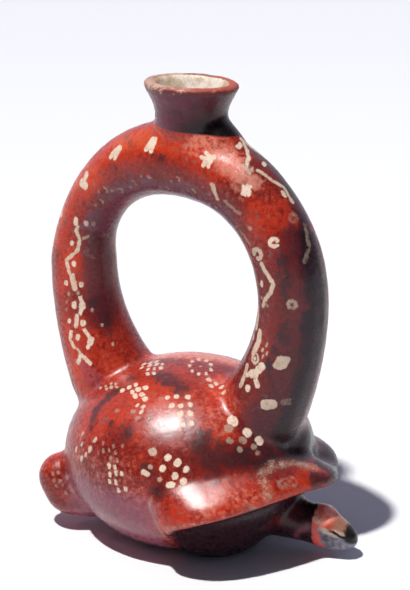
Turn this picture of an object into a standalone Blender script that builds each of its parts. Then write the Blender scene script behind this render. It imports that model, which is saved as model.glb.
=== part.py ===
"""A stirrup spout vessel of burnished, slipped earthenware, modelled as one hollow piece of fired clay.

The body is a low dome-backed animal, much like a turtle. A stub tail turns up behind, a flared brim crosses
the front, and a short neck with a beaked head reaches out under it. A wide hollow stirrup rises from the back
and carries a short flared spout. +X is the animal's forward, +Z is up, and the vessel stands on Z = 0.
"""

import bmesh
import bpy
from math import cos, exp, pi, radians, sin
from mathutils import Matrix, Vector

# Driving dimensions, in metres and degrees
WALL = 0.0055  # clay between the outside and the hollow
BODY_HALF_LENGTH = 0.0635
BODY_HALF_WIDTH = 0.0620
BODY_HALF_HEIGHT = 0.0475
BODY_CENTRE_Z = 0.0425  # lower than the half height, so the base cut leaves a flat foot
STIRRUP_RADIUS = 0.0615  # centreline of the arch
STIRRUP_CENTRE = (-0.0022, 0.0, 0.1330)
STIRRUP_FOOT_Z = 0.062  # where the centreline of each leg ends, inside the body
TUBE_RADIUS = 0.0172
TUBE_FOOT_RADIUS = 0.0210
SPOUT_CENTRE_X = 0.0009
SPOUT_RIM_RADIUS = 0.0239
SPOUT_WAIST_RADIUS = 0.0174
SPOUT_RIM_Z = 0.2340
SPOUT_WAIST_Z = 0.2178
SPOUT_ROOT_Z = 0.2020
SPOUT_LIP_HEIGHT = 0.0044  # of the thick rounded roll at its rim
SPOUT_MOUTH_RADIUS = 0.0172  # of the opening inside the roll
SPOUT_TILT = 0.080  # rise of its rim for each metre towards the animal's right
SPOUT_FOOT_X = 0.0032  # middle of the clay packed round its root
SPOUT_FOOT_STRETCH = (1.55, 0.85)  # the foot runs out along the arch, not across it
BRIM_RADIUS = 0.0745  # of the lip, from the body's axis
BRIM_LIP_Z = 0.0425
BRIM_CREASE_Z = 0.054  # where its upper side leaves the body
BRIM_FAR_DROP = 0.014  # the upper side leaves lower on the animal's left
BRIM_LIP_DROOP = 0.0038  # and so does the lip
BRIM_NEAR_REACH = 0.0045  # extra reach of the lip at the animal's right
BRIM_NEAR_SWELL = 0.0030  # extra height of the upper side, near its right end
BRIM_NEAR_EASE = 0.0020  # how far the upper side lies below its usual bulge there
BRIM_HALF_ANGLE = 79
BRIM_LIP_THICKNESS = 0.0045
NECK_RADIUS = 0.0108
FORM_STEP = 0.0017  # grid on which the clay forms are merged
OUTSIDE_SHARE = 0.082  # share of the merged triangles that the outside keeps


def clear_scene():
    for obj in list(bpy.data.objects):
        bpy.data.objects.remove(obj, do_unlink=True)


def make_collection(name):
    collection = bpy.data.collections.new(name)
    bpy.context.scene.collection.children.link(collection)
    return collection


def clay_material():
    material = bpy.data.materials.new("burnished red slip")
    material.use_nodes = True
    shader = material.node_tree.nodes["Principled BSDF"]
    shader.inputs["Base Color"].default_value = (0.36, 0.045, 0.022, 1.0)
    shader.inputs["Roughness"].default_value = 0.3
    shader.inputs["Metallic"].default_value = 0.0
    return material


def object_from_bmesh(name, bm, collection):
    mesh = bpy.data.meshes.new(name)
    bm.to_mesh(mesh)
    bm.free()
    obj = bpy.data.objects.new(name, mesh)
    collection.objects.link(obj)
    return obj


def ellipsoid(name, centre, half_sizes, collection, tilt=0.0, turn=0.0, segments=32):
    """An ellipsoid, pitched nose-down by tilt degrees, then turned about Z by turn degrees."""
    bm = bmesh.new()
    bmesh.ops.create_uvsphere(bm, u_segments=segments, v_segments=segments // 2, radius=1.0)
    placed = Matrix.Translation(centre) @ Matrix.Rotation(radians(turn), 4, "Z")
    placed = placed @ Matrix.Rotation(radians(tilt), 4, "Y") @ Matrix.Diagonal((*half_sizes, 1.0))
    bmesh.ops.transform(bm, matrix=placed, verts=bm.verts)
    return object_from_bmesh(name, bm, collection)


def tube(name, points, radii, collection, sides_level=6):
    """A round tube of varying radius along points, closed at both ends."""
    curve = bpy.data.curves.new(name, "CURVE")
    curve.dimensions = "3D"
    curve.bevel_depth = 1.0
    curve.bevel_resolution = sides_level
    curve.use_fill_caps = True
    spline = curve.splines.new("POLY")
    spline.points.add(len(points) - 1)
    for slot, place, radius in zip(spline.points, points, radii):
        slot.co = (*place, 1.0)
        slot.radius = radius
    guide = bpy.data.objects.new(name + " guide", curve)
    collection.objects.link(guide)
    bpy.context.view_layer.update()
    graph = bpy.context.evaluated_depsgraph_get()
    mesh = bpy.data.meshes.new_from_object(guide.evaluated_get(graph))
    bm = bmesh.new()
    bm.from_mesh(mesh)
    bmesh.ops.remove_doubles(bm, verts=bm.verts, dist=0.00005)
    bmesh.ops.recalc_face_normals(bm, faces=bm.faces)
    bpy.data.objects.remove(guide, do_unlink=True)
    bpy.data.meshes.remove(mesh)
    return object_from_bmesh(name, bm, collection)


def turned(name, profile, centre_x, collection, steps=40, stretch=(1.0, 1.0), tilt=0.0):
    """A turned shape about Z, from (radius, height) points listed top to bottom, drawn out in X and Y by stretch.

    tilt then shears it, so that its rim rises towards -Y while its sides stay upright.
    """
    bm = bmesh.new()
    verts = [bm.verts.new((radius, 0.0, height)) for radius, height in profile]
    edges = [bm.edges.new(pair) for pair in zip(verts, verts[1:])]
    bmesh.ops.spin(bm, geom=verts + edges, cent=(0, 0, 0), axis=(0, 0, 1), angle=2.0 * pi, steps=steps)
    bmesh.ops.remove_doubles(bm, verts=bm.verts, dist=0.00005)
    bmesh.ops.recalc_face_normals(bm, faces=bm.faces)
    shape = Matrix.Diagonal((*stretch, 1.0, 1.0))
    shape[2][1] = -tilt
    shape[0][3] = centre_x
    bmesh.ops.transform(bm, matrix=shape, verts=bm.verts)
    return object_from_bmesh(name, bm, collection)


def stirrup_path(foot_z):
    """Centreline of the arch: a half circle on two legs that lean inwards as they go down."""
    centre_x, centre_y, centre_z = STIRRUP_CENTRE
    drop = centre_z - foot_z
    leg_steps = 10
    arc_steps = 28
    half_widths = []
    for i in range(leg_steps):
        down = drop * (1.0 - i / leg_steps)
        half_widths.append((STIRRUP_RADIUS * (1.0 - 0.29 * (down / 0.060) ** 2), centre_z - down))
    left = [Vector((centre_x - half, centre_y, z)) for half, z in half_widths]
    right = [Vector((centre_x + half, centre_y, z)) for half, z in reversed(half_widths)]
    arc = []
    for i in range(arc_steps + 1):
        angle = pi * (1.0 - i / arc_steps)
        arc.append(Vector((centre_x + STIRRUP_RADIUS * cos(angle), centre_y, centre_z + STIRRUP_RADIUS * sin(angle))))
    return left + arc + right


def stirrup_radius(point):
    """The tube swells towards its feet, and its front half is a little thicker than its back half."""
    low = max(0.0, (STIRRUP_CENTRE[2] - point.z) / 0.050)
    lean = (point.x - STIRRUP_CENTRE[0]) / STIRRUP_RADIUS
    high = max(0.0, (point.z - STIRRUP_CENTRE[2]) / STIRRUP_RADIUS)
    swell = (TUBE_FOOT_RADIUS - TUBE_RADIUS) * min(low, 1.15) ** 2
    shoulder = 0.0045 * (1.0 - lean) * high * (1.0 - high)
    crown = 0.0018 * high**6
    return TUBE_RADIUS + swell + 0.0003 * lean - shoulder + crown


def brim_section(angle):
    """Outline of the brim at an angle about the body's axis, as (radius, height) points, root to lip and back."""
    share = abs(angle) / BRIM_HALF_ANGLE
    fullness = (1.0 - share**5) ** 0.5
    prow = exp(-(((angle - 4.0) / 12.0) ** 2))
    far = 1.0 / (1.0 + exp((14.0 - angle) / 4.0))
    droop = 1.0 / (1.0 + exp((2.0 - angle) / 5.0))
    dip = 0.0030 * exp(-(((angle - 24.0) / 9.0) ** 2))
    near = exp(-(((angle + 54.0) / 17.0) ** 2))
    swell = BRIM_NEAR_SWELL * exp(-(((angle + 68.0) / 13.0) ** 2))
    lip_radius = BODY_HALF_WIDTH - 0.004 + (BRIM_RADIUS - BODY_HALF_WIDTH + 0.0045 + 0.006 * prow) * fullness
    lip_radius += BRIM_NEAR_REACH * near
    ease = BRIM_NEAR_EASE * near
    lip_z = BRIM_LIP_Z + 0.001 * prow - 0.0170 * share**1.95 - BRIM_LIP_DROOP * droop * (1.0 - share**2)
    lip_z += 0.33 * BRIM_NEAR_REACH * near
    crease_z = BRIM_CREASE_Z - 0.014 * share**4 - BRIM_FAR_DROP * far * (1.0 - share**2) + swell
    crease_radius = BODY_HALF_WIDTH
    root_radius = 0.72 * BODY_HALF_WIDTH
    half = BRIM_LIP_THICKNESS / 2.0
    return [
        (root_radius, crease_z + 0.004),
        (crease_radius - 0.001, crease_z - 0.4 * dip),
        (0.6 * crease_radius + 0.4 * lip_radius, 0.62 * crease_z + 0.38 * lip_z + 0.0028 - ease - dip),
        (0.2 * crease_radius + 0.8 * lip_radius, 0.25 * crease_z + 0.75 * lip_z + 0.0030 - 0.7 * ease - 0.6 * dip),
        (lip_radius - 0.3 * half, lip_z + half),
        (lip_radius, lip_z),
        (lip_radius - half, lip_z - half),
        (0.5 * crease_radius + 0.5 * lip_radius, lip_z - 0.0045),
        (crease_radius - 0.004, lip_z - 0.0085),
        (root_radius, lip_z - 0.012),
    ]


def brim(collection):
    """The flared front edge of the shell: a visor lofted round the front, its ends slanting into the flanks."""
    bm = bmesh.new()
    steps = 48
    rings = []
    for i in range(steps + 1):
        angle = BRIM_HALF_ANGLE * (2.0 * i / steps - 1.0)
        outline = brim_section(angle)
        top_z = outline[0][1]
        ring = []
        for radius, z in outline:
            trail = 0.36 * ((top_z - z) / top_z) ** 1.6 * abs(angle / BRIM_HALF_ANGLE) ** 5
            turn = radians(angle * (1.0 - trail))
            ring.append(bm.verts.new((radius * cos(turn), radius * sin(turn), z)))
        rings.append(ring)
    for first, second in zip(rings, rings[1:]):
        for k in range(len(first)):
            after = (k + 1) % len(first)
            bm.faces.new((first[k], first[after], second[after], second[k]))
    bm.faces.new(rings[0])
    bm.faces.new(list(reversed(rings[-1])))
    bmesh.ops.recalc_face_normals(bm, faces=bm.faces)
    return object_from_bmesh("brim", bm, collection)


def blend(start, end, share):
    return Vector(start).lerp(Vector(end), share)


def tail(collection):
    """A stub tail that leaves the flank low down and turns up."""
    points = [(-0.036, -0.016, 0.020), (-0.0455, -0.0225, 0.0175), (-0.0530, -0.0293, 0.0203), (-0.0562, -0.0318, 0.0270)]
    radii = [0.014, 0.0130, 0.0135, 0.0125]
    shapes = []
    for i in range(len(points) - 1):
        for k in range(4):
            share = k / 4
            radius = radii[i] + (radii[i + 1] - radii[i]) * share
            shapes.append((blend(points[i], points[i + 1], share), radius))
    shapes.append((Vector(points[-1]), radii[-1]))
    return [
        ellipsoid(f"tail {i}", centre, (radius, radius, radius), collection, segments=20)
        for i, (centre, radius) in enumerate(shapes)
    ]


def neck_and_head(collection):
    neck_points = [blend((0.015, -0.002, 0.021), (0.071, 0.008, 0.0155), i / 8) for i in range(9)]
    neck_radii = [NECK_RADIUS * (1.25 - 0.35 * i / 8) for i in range(9)]
    return [
        tube("neck", neck_points, neck_radii, collection),
        ellipsoid("skull", (0.0710, 0.0085, 0.0155), (0.0118, 0.0110, 0.0108), collection, tilt=10, turn=8),
        ellipsoid("snout", (0.0792, 0.0100, 0.0131), (0.0130, 0.0082, 0.0074), collection, tilt=22, turn=6),
        ellipsoid("jaw", (0.0768, 0.0098, 0.0092), (0.0128, 0.0080, 0.0055), collection, tilt=2, turn=6),
        ellipsoid("near eye", (0.0725, 0.0010, 0.0195), (0.0050, 0.0036, 0.0044), collection, turn=8),
        ellipsoid("far eye", (0.0705, 0.0160, 0.0195), (0.0050, 0.0036, 0.0044), collection, turn=8),
    ]


def clay_forms(collection):
    """Every form that the potter joined, still overlapping."""
    path = stirrup_path(STIRRUP_FOOT_Z)
    spout_profile = [
        (0.0, SPOUT_RIM_Z),
        (SPOUT_RIM_RADIUS - 0.0030, SPOUT_RIM_Z),
        (SPOUT_RIM_RADIUS - 0.0007, SPOUT_RIM_Z - 0.0007),
        (SPOUT_RIM_RADIUS, SPOUT_RIM_Z - 0.38 * SPOUT_LIP_HEIGHT),
        (SPOUT_RIM_RADIUS - 0.0013, SPOUT_RIM_Z - SPOUT_LIP_HEIGHT),
        (SPOUT_WAIST_RADIUS + 0.0016, SPOUT_WAIST_Z + 0.0052),
        (SPOUT_WAIST_RADIUS, SPOUT_WAIST_Z),
        (SPOUT_WAIST_RADIUS + 0.0007, SPOUT_WAIST_Z - 0.0040),
        (SPOUT_WAIST_RADIUS - 0.0010, SPOUT_WAIST_Z - 0.0095),
        (SPOUT_WAIST_RADIUS - 0.0050, SPOUT_ROOT_Z),
        (0.0, SPOUT_ROOT_Z),
    ]
    spout_foot_profile = [
        (0.0, SPOUT_WAIST_Z - 0.0015),
        (0.0120, SPOUT_WAIST_Z - 0.0015),
        (0.0140, SPOUT_WAIST_Z - 0.0045),
        (0.0160, SPOUT_WAIST_Z - 0.0080),
        (0.0178, SPOUT_WAIST_Z - 0.0110),
        (0.0170, SPOUT_ROOT_Z),
        (0.0, SPOUT_ROOT_Z),
    ]
    body_size = (BODY_HALF_LENGTH, BODY_HALF_WIDTH, BODY_HALF_HEIGHT)
    forms = [
        ellipsoid("body", (0.0, 0.0, BODY_CENTRE_Z), body_size, collection, segments=64),
        ellipsoid("front shoulder", (0.046, 0.008, 0.054), (0.0178, 0.0185, 0.0185), collection),
        ellipsoid("chest", (0.023, -0.006, 0.017), (0.027, 0.036, 0.021), collection),
        tube("stirrup", path, [stirrup_radius(point) for point in path], collection),
        turned("spout", spout_profile, SPOUT_CENTRE_X, collection, tilt=SPOUT_TILT),
        turned("spout foot", spout_foot_profile, SPOUT_FOOT_X, collection, stretch=SPOUT_FOOT_STRETCH),
        brim(collection),
    ]
    return forms + tail(collection) + neck_and_head(collection)


def joined_clay(forms, collection):
    """One mesh from all forms, merged on a fine grid so that every junction is a soft, worked fillet."""
    graph = bpy.context.evaluated_depsgraph_get()
    bm = bmesh.new()
    for form in forms:
        mesh = bpy.data.meshes.new_from_object(form.evaluated_get(graph))
        mesh.transform(form.matrix_world)
        bm.from_mesh(mesh)
        bpy.data.meshes.remove(mesh)
        bpy.data.objects.remove(form, do_unlink=True)
    vessel = object_from_bmesh("vessel", bm, collection)
    merge = vessel.modifiers.new("merge", "REMESH")
    merge.mode = "VOXEL"
    merge.voxel_size = FORM_STEP
    merge.adaptivity = 0.0
    soften = vessel.modifiers.new("soften", "SMOOTH")
    soften.factor = 0.5
    soften.iterations = 7
    thin = vessel.modifiers.new("thin", "DECIMATE")
    thin.ratio = OUTSIDE_SHARE
    return vessel


def hollows(collection):
    """The empty inside, one wall in from the outside: the body, the arch and the mouth of the spout."""
    body_top = BODY_CENTRE_Z + BODY_HALF_HEIGHT
    inner_size = (BODY_HALF_LENGTH - WALL, BODY_HALF_WIDTH - WALL, body_top / 2.0 - WALL)
    path = stirrup_path(STIRRUP_FOOT_Z - 0.006)
    bore = [
        (0.0, SPOUT_RIM_Z + 0.004),
        (SPOUT_RIM_RADIUS - 0.0010, SPOUT_RIM_Z + 0.004),
        (SPOUT_MOUTH_RADIUS + 0.0018, SPOUT_RIM_Z - 0.0003),
        (SPOUT_MOUTH_RADIUS, SPOUT_RIM_Z - 0.35 * SPOUT_LIP_HEIGHT),
        (SPOUT_MOUTH_RADIUS - 0.0007, SPOUT_RIM_Z - 0.90 * SPOUT_LIP_HEIGHT),
        (SPOUT_WAIST_RADIUS - WALL + 0.0005, SPOUT_WAIST_Z - 0.0010),
        (SPOUT_WAIST_RADIUS - WALL - 0.002, SPOUT_ROOT_Z - 0.006),
        (0.0, SPOUT_ROOT_Z - 0.006),
    ]
    inner_radii = [stirrup_radius(point) - WALL for point in path]
    return [
        ellipsoid("body hollow", (0.0, 0.0, body_top / 2.0), inner_size, collection, segments=28),
        tube("arch hollow", path, inner_radii, collection, sides_level=5),
        turned("mouth hollow", bore, SPOUT_CENTRE_X, collection, steps=24, tilt=SPOUT_TILT),
    ]


def base_cutter(collection):
    bm = bmesh.new()
    bmesh.ops.create_cube(bm, size=1.0, matrix=Matrix.Translation((0.0, 0.0, -0.05)) @ Matrix.Diagonal((0.3, 0.3, 0.1, 1.0)))
    return object_from_bmesh("level base", bm, collection)


def cut(vessel, cutter):
    cutter.hide_render = True
    cutter.display_type = "WIRE"
    boolean = vessel.modifiers.new(cutter.name, "BOOLEAN")
    boolean.operation = "DIFFERENCE"
    boolean.solver = "EXACT"
    boolean.object = cutter


def main():
    clear_scene()
    parts = make_collection("stirrup spout vessel")
    cutters = make_collection("cutters")
    vessel = joined_clay(clay_forms(parts), parts)
    vessel.data.materials.append(clay_material())
    cut(vessel, base_cutter(cutters))
    for hollow in hollows(cutters):
        cut(vessel, hollow)


main()
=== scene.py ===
import math
import random

import bmesh
import bpy
import numpy as np
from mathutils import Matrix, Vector
from mathutils.bvhtree import BVHTree


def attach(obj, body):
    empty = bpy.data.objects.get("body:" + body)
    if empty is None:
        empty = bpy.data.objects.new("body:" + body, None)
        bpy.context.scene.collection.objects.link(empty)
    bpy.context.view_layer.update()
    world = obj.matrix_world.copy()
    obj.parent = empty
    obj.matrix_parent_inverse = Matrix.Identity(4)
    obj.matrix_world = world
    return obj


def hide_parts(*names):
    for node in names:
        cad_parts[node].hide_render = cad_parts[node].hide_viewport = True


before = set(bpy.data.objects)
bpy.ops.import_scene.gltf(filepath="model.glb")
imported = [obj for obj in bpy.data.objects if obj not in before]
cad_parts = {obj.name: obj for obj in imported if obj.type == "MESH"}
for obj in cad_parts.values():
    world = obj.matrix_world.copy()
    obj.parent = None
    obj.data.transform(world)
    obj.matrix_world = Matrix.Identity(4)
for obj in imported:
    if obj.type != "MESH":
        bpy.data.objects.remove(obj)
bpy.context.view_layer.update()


# The clay body. The real vessel is one fired piece: a hollow turtle, a looped tube that rises
# from its back, and a flared spout. Its skin was smoothed while damp, so every joint between
# the parts runs over in a soft fillet.
skin_step = 0.00147
smoothing_rounds = 23
smoothing_steps = (0.50, -0.52)
body_centre = Vector((0.0, 0.0, 0.0425))
body_half_width = 0.0620
body_half_height = 0.0475
arch_centre = Vector((-0.0022, 0.0, 0.1330))
arch_radius = 0.0615
tube_radius = 0.0172
leg_length = 0.060
leg_draw_in = 0.29
leg_thickening = 0.0038
thickening_drop = 0.050
thickest = 1.15


def welded_copy(node):
    """A mesh of its own with the node's shape, its loose triangles joined."""
    shape = bmesh.new()
    shape.from_mesh(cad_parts[node].data)
    bmesh.ops.remove_doubles(shape, verts=shape.verts, dist=1e-6)
    mesh = bpy.data.meshes.new("turtle_vessel")
    shape.to_mesh(mesh)
    shape.free()
    return mesh


def applied(piece):
    """The piece with its modifiers made part of a plain mesh."""
    graph = bpy.context.evaluated_depsgraph_get()
    mesh = bpy.data.meshes.new_from_object(piece.evaluated_get(graph), depsgraph=graph)
    piece.modifiers.clear()
    piece.data = mesh
    return piece


def values_of(items, name, width=3, kind=float):
    """One property of every vertex, edge, corner or face of a mesh, as an array."""
    values = np.empty(len(items) * width, kind)
    items.foreach_get(name, values)
    return values.reshape(-1, width) if width > 1 else values


def smoothed(mesh, rounds, share):
    """Evens the skin out over its neighbours and back, which takes facets away and keeps the bulk."""
    points = values_of(mesh.vertices, "co")
    ends = values_of(mesh.edges, "vertices", 2, np.int64)
    first, second = ends.T
    count = np.bincount(ends.ravel(), minlength=len(points))[:, None]
    for _ in range(rounds):
        for step in smoothing_steps:
            around = np.empty_like(points)
            for axis in range(3):
                around[:, axis] = np.bincount(first, points[second, axis], len(points))
                around[:, axis] += np.bincount(second, points[first, axis], len(points))
            points += step * share * (around / count - points)
    mesh.vertices.foreach_set("co", points.ravel())
    mesh.update()


vessel = bpy.data.objects.new("turtle_vessel", welded_copy("vessel"))
bpy.context.scene.collection.objects.link(vessel)
remesh = vessel.modifiers.new("even_skin", "REMESH")
remesh.mode = "VOXEL"
remesh.voxel_size = skin_step
remesh.adaptivity = 0.0
applied(vessel)


# The brim is the front edge of the shell, a thick leaf of clay drawn out over the neck. Its lip
# droops towards both ends, and its far side lies lower than the near one, which reaches out more.
brim_lip_height = 0.0425
brim_half_angle = 79.0
brim_root = 0.058
brim_reach = 0.017
end_droop = 0.0170
far_droop = 0.0038
prow_turn, prow_spread, prow_reach, prow_rise = 4, 12, 0.006, 0.001
near_turn, near_spread, near_reach = -54, 17, 0.0045
near_rise = 0.33 * near_reach


def swell(turn, middle, spread):
    """1 at the middle turn, and dying away to both sides of it."""
    return np.exp(-(((turn - middle) / spread) ** 2))


def brim_lip_z(turn):
    """Height of the brim's lip at that turn: it droops at both ends, and all along its far side."""
    share = abs(turn) / brim_half_angle
    rise = prow_rise * swell(turn, prow_turn, prow_spread) + near_rise * swell(turn, near_turn, near_spread)
    droop = far_droop / (1 + np.exp((2 - turn) / 5))
    return brim_lip_height + rise - end_droop * share**1.95 - droop * (1 - share**2)


def brim_lip(turn):
    """A point of the brim's lip, at that many degrees about the body's axis."""
    share = abs(turn) / brim_half_angle
    reach = brim_reach + prow_reach * swell(turn, prow_turn, prow_spread)
    reach = brim_root + reach * math.sqrt(1 - share**5) + near_reach * swell(turn, near_turn, near_spread)
    angle = math.radians(turn * (1 - 0.09 * share**5))
    return Vector((reach * math.cos(angle), reach * math.sin(angle), brim_lip_z(turn)))


def falloff(distance):
    """1 at nothing, smoothly down to 0 at 1."""
    left = np.clip(1.0 - distance, 0.0, 1.0)
    return left * left * (3.0 - 2.0 * left)


def near_line(points, start, end, reach):
    """How near each point lies to the line from start to end: 1 on it, 0 at that reach."""
    start, end = np.array(start), np.array(end)
    line = end - start
    length = max(float(line @ line), 1e-12)
    along = np.clip((points - start) @ line / length, 0.0, 1.0)
    gap = np.linalg.norm(points - start - along[:, None] * line, axis=1)
    return falloff(gap / reach)


def near_path(points, path, reach):
    """As near_line, along a row of points."""
    nearest = np.zeros(len(points))
    for start, end in zip(path, path[1:]):
        nearest = np.maximum(nearest, near_line(points, start, end, reach))
    return nearest


# The brim's lip, the beak and the spout's lip stay crisp while the rest of the skin is smoothed.
whole_lip = [brim_lip(turn) for turn in range(-76, 77, 4)]
beak = [(0.068, 0.008, 0.014), (0.089, 0.010, 0.010)]
spout_lip_start = 0.224
crisp_share = 0.75
skin = values_of(vessel.data.vertices, "co")
kept_crisp = near_path(skin, whole_lip, 0.009)
kept_crisp = np.maximum(kept_crisp, near_path(skin, beak, 0.016))
kept_crisp = np.maximum(kept_crisp, np.clip((skin[:, 2] - spout_lip_start) / 0.006, 0.0, 1.0))
smoothed(vessel.data, smoothing_rounds, (1.0 - crisp_share * kept_crisp)[:, None])


# The surface was rubbed with a pebble until it shone. The pebble leaves long shallow waves and
# a faint grain, which bend the highlights as they run over the clay.
def hand_worked_surface():
    tree = bpy.data.node_groups.new("hand_worked_surface", "GeometryNodeTree")
    face = tree.interface
    face.new_socket("Geometry", in_out="INPUT", socket_type="NodeSocketGeometry")
    for name in ("Wave Depth", "Wave Length", "Grain Depth", "Grain Length", "Seed"):
        face.new_socket(name, in_out="INPUT", socket_type="NodeSocketFloat")
    face.new_socket("Material", in_out="INPUT", socket_type="NodeSocketMaterial")
    face.new_socket("Geometry", in_out="OUTPUT", socket_type="NodeSocketGeometry")
    nodes, links = tree.nodes, tree.links
    given = nodes.new("NodeGroupInput")
    result = nodes.new("NodeGroupOutput")

    def math_node(operation, first, second):
        node = nodes.new("ShaderNodeMath")
        node.operation = operation
        for socket, value in zip(node.inputs, (first, second)):
            if isinstance(value, (int, float)):
                socket.default_value = value
            else:
                links.new(value, socket)
        return node.outputs[0]

    height = None
    for kind in ("Wave", "Grain"):
        noise = nodes.new("ShaderNodeTexNoise")
        noise.noise_dimensions = "4D"
        noise.inputs["Detail"].default_value = 2.0
        links.new(given.outputs["Seed"], noise.inputs["W"])
        links.new(math_node("DIVIDE", 1.0, given.outputs[f"{kind} Length"]), noise.inputs["Scale"])
        swing = math_node("SUBTRACT", noise.outputs["Fac"], 0.5)
        swing = math_node("MULTIPLY", swing, given.outputs[f"{kind} Depth"])
        height = swing if height is None else math_node("ADD", height, swing)
    outward = nodes.new("GeometryNodeInputNormal")
    lift = nodes.new("ShaderNodeVectorMath")
    lift.operation = "SCALE"
    links.new(outward.outputs[0], lift.inputs[0])
    links.new(height, lift.inputs["Scale"])
    place = nodes.new("GeometryNodeSetPosition")
    links.new(given.outputs["Geometry"], place.inputs["Geometry"])
    links.new(lift.outputs[0], place.inputs["Offset"])
    realize = nodes.new("GeometryNodeRealizeInstances")
    links.new(place.outputs[0], realize.inputs[0])
    finish = nodes.new("GeometryNodeSetMaterial")
    links.new(realize.outputs[0], finish.inputs["Geometry"])
    links.new(given.outputs["Material"], finish.inputs["Material"])
    links.new(finish.outputs[0], result.inputs[0])
    return tree


burnished_slip = bpy.data.materials.new("burnished_slip")
working = vessel.modifiers.new("hand_worked_surface", "NODES")
working.node_group = hand_worked_surface()
chosen = {
    "Wave Depth": 0.0009,
    "Wave Length": 0.030,
    "Grain Depth": 0.00025,
    "Grain Length": 0.006,
    "Seed": 3.0,
    "Material": burnished_slip,
}
for item in working.node_group.interface.items_tree:
    if item.in_out == "INPUT" and item.name in chosen:
        working[item.identifier] = chosen[item.name]
applied(vessel)
skin = values_of(vessel.data.vertices, "co")
skin[:, 2] = np.maximum(skin[:, 2], 0.0)
vessel.data.vertices.foreach_set("co", skin.ravel())
for polygon in vessel.data.polygons:
    polygon.use_smooth = True


# The painted marks. A fine brush laid cream slip on the red before firing: groups of dabs on
# the turtle's back, and zigzags, bars and rings up both legs of the loop. Each mark is a
# rounded stroke, so the skin only needs to know where its nearest stroke lies.
random.seed(11)
skin_normals = values_of(vessel.data.vertex_normals, "vector")
skin_tree = BVHTree.FromPolygons(
    [Vector(point) for point in skin], [tuple(face.vertices) for face in vessel.data.polygons]
)
marks = []


def on_body(turn, down):
    """The skin at that turn about the body's axis, and that angle down from the top of the shell."""
    turn, down = math.radians(turn), math.radians(down)
    reach = 1 / math.hypot(math.sin(down) / body_half_width, math.cos(down) / body_half_height)
    ray = Vector((math.cos(turn) * math.sin(down), math.sin(turn) * math.sin(down), math.cos(down)))
    return body_centre + reach * ray


def on_arch(along, around):
    """The skin of the loop. along runs from 0 at its front, over the top at 90, to 180 at its back,
    and past both ends down the legs; around is 0 on the outer edge, 90 on the right side, 180 inside."""
    if 0 <= along <= 180:
        angle = math.radians(along)
        outward = Vector((math.cos(angle), 0, math.sin(angle)))
        centre = arch_centre + arch_radius * outward
    else:
        side = 1 if along < 0 else -1
        down = arch_radius * math.radians(-along if along < 0 else along - 180)
        half_width = arch_radius * (1 - leg_draw_in * (down / leg_length) ** 2)
        outward = Vector((side, 0, 0))
        centre = arch_centre + side * half_width * Vector((1, 0, 0)) - Vector((0, 0, down))
    turn = math.radians(around)
    low = max(0.0, arch_centre.z - centre.z) / thickening_drop
    radius = tube_radius + leg_thickening * min(low, thickest) ** 2
    return centre + radius * (math.cos(turn) * outward + math.sin(turn) * Vector((0, -1, 0)))


def on_skin(place):
    """The point of the skin nearest a place, and the way it faces there."""
    point, normal, _, _ = skin_tree.find_nearest(place)
    return point, normal


def laid_out(place):
    """The point of the skin nearest a place, with the skin's level direction and its way up."""
    point, normal = on_skin(place)
    level = Vector((0, 0, 1)).cross(normal).normalized()
    return point, level, normal.cross(level)


def stroke(start, end, half_width, taper=0.0, strength=1.0):
    """A straight brush stroke with round ends. taper narrows its far end."""
    start, normal_start = on_skin(start)
    end, normal_end = on_skin(end)
    normal = (normal_start + normal_end).normalized()
    along = end - start
    half_length = along.length / 2
    along = (along - normal * along.dot(normal)).normalized()
    if along.length < 0.5:
        along = normal.cross(Vector((0.3, 0.2, 0.9))).normalized()
    middle = (start + end) / 2
    marks.append((middle, along, normal.cross(along), normal, half_length, half_width, taper, strength))


def dab(place, radius, reach=0.0, lean=90.0, strength=1.0):
    """A dab of the brush, drawn out by reach either way along a line that leans from the level."""
    point, level, up = laid_out(place)
    lean = math.radians(lean)
    away = (reach + 1e-5) * (math.cos(lean) * level + math.sin(lean) * up)
    stroke(point - away, point + away, radius, strength=strength)


def path(places, half_width, strength=1.0):
    """Strokes from each place to the next."""
    for start, end in zip(places, places[1:]):
        stroke(start, end, half_width, strength=strength)


def beside(place, right, rise):
    """The skin that far to the right of a place and that far up from it."""
    point, level, up = laid_out(place)
    return point + right * level + rise * up


def arc(centre, radius, first, last, half_width, strength=1.0, steps=6, height=1.0):
    """Part of a ring, between two turns from its right side. height squashes it."""
    turns = [math.radians(first + (last - first) * step / steps) for step in range(steps + 1)]
    places = [beside(centre, radius * math.cos(turn), height * radius * math.sin(turn)) for turn in turns]
    path(places, half_width, strength)


def star(centre, reach, arms, half_width):
    """A ragged star of short strokes out from its middle."""
    for turn in arms:
        turn = math.radians(turn)
        stroke(centre, beside(centre, reach * math.cos(turn), reach * math.sin(turn)), half_width, taper=0.45)


def group(centre, radius, column, row, rows, reach=0.0, strength=1.0):
    """A group of dabs in rows. column and row are each a step's length and its turn from the level."""
    point, level, up = laid_out(centre)

    def step(length, turn):
        turn = math.radians(turn)
        return length * (math.cos(turn) * level + math.sin(turn) * up)

    across, down = step(*column), step(*row)
    width = max(len(line) for line in rows)
    for line_index, line in enumerate(rows):
        for index, sign in enumerate(line):
            if sign != "o":
                continue
            place = point + across * (index - (width - 1) / 2) + down * (line_index - (len(rows) - 1) / 2)
            wander = 0.18 * min(column[0], row[0])
            place += level * random.uniform(-wander, wander) + up * random.uniform(-wander, wander)
            dab(place, radius * random.uniform(0.82, 1.15), reach, row[1] + 180, strength=strength)


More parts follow.
